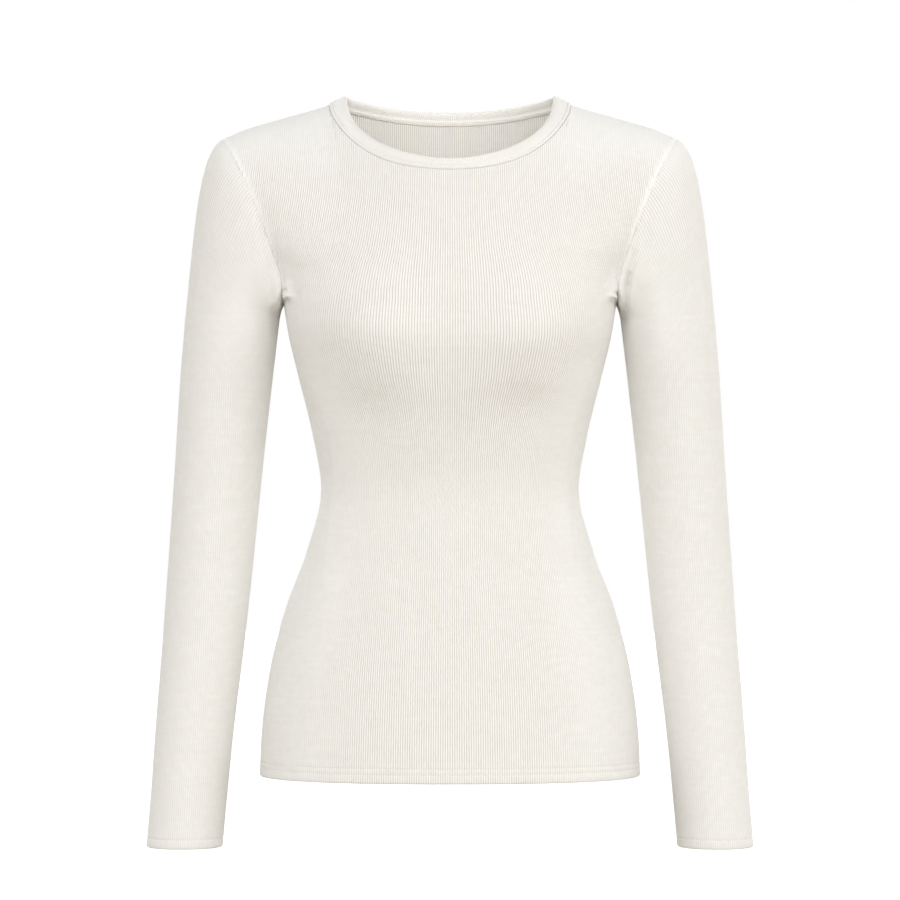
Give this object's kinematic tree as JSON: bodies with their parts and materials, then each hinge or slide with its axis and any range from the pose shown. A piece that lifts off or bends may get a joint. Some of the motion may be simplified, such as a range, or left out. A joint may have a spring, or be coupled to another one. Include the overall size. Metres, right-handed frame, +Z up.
{
  "type": "thermal base layer top",
  "caption": "Close-fitting long-sleeved rib-knit thermal top with a crew neck, waisted body, set-in sleeves and plain turned hems.",
  "frame": {"origin": "the middle of the line between the two points where the shoulder seams meet the fold of the neckband", "axes": "+X towards the wearer's left sleeve, -Y out of the front, +Z up out of the neck"},
  "size_m": [0.5168, 0.239, 0.6418],
  "materials": {
    "rib_cloth": "matte"
  },
  "bodies": {
    "root": {"front": "rib_cloth", "back": "rib_cloth", "sleeve_left": "rib_cloth", "sleeve_right": "rib_cloth", "neckband": "rib_cloth"}
  },
  "joints": []
}
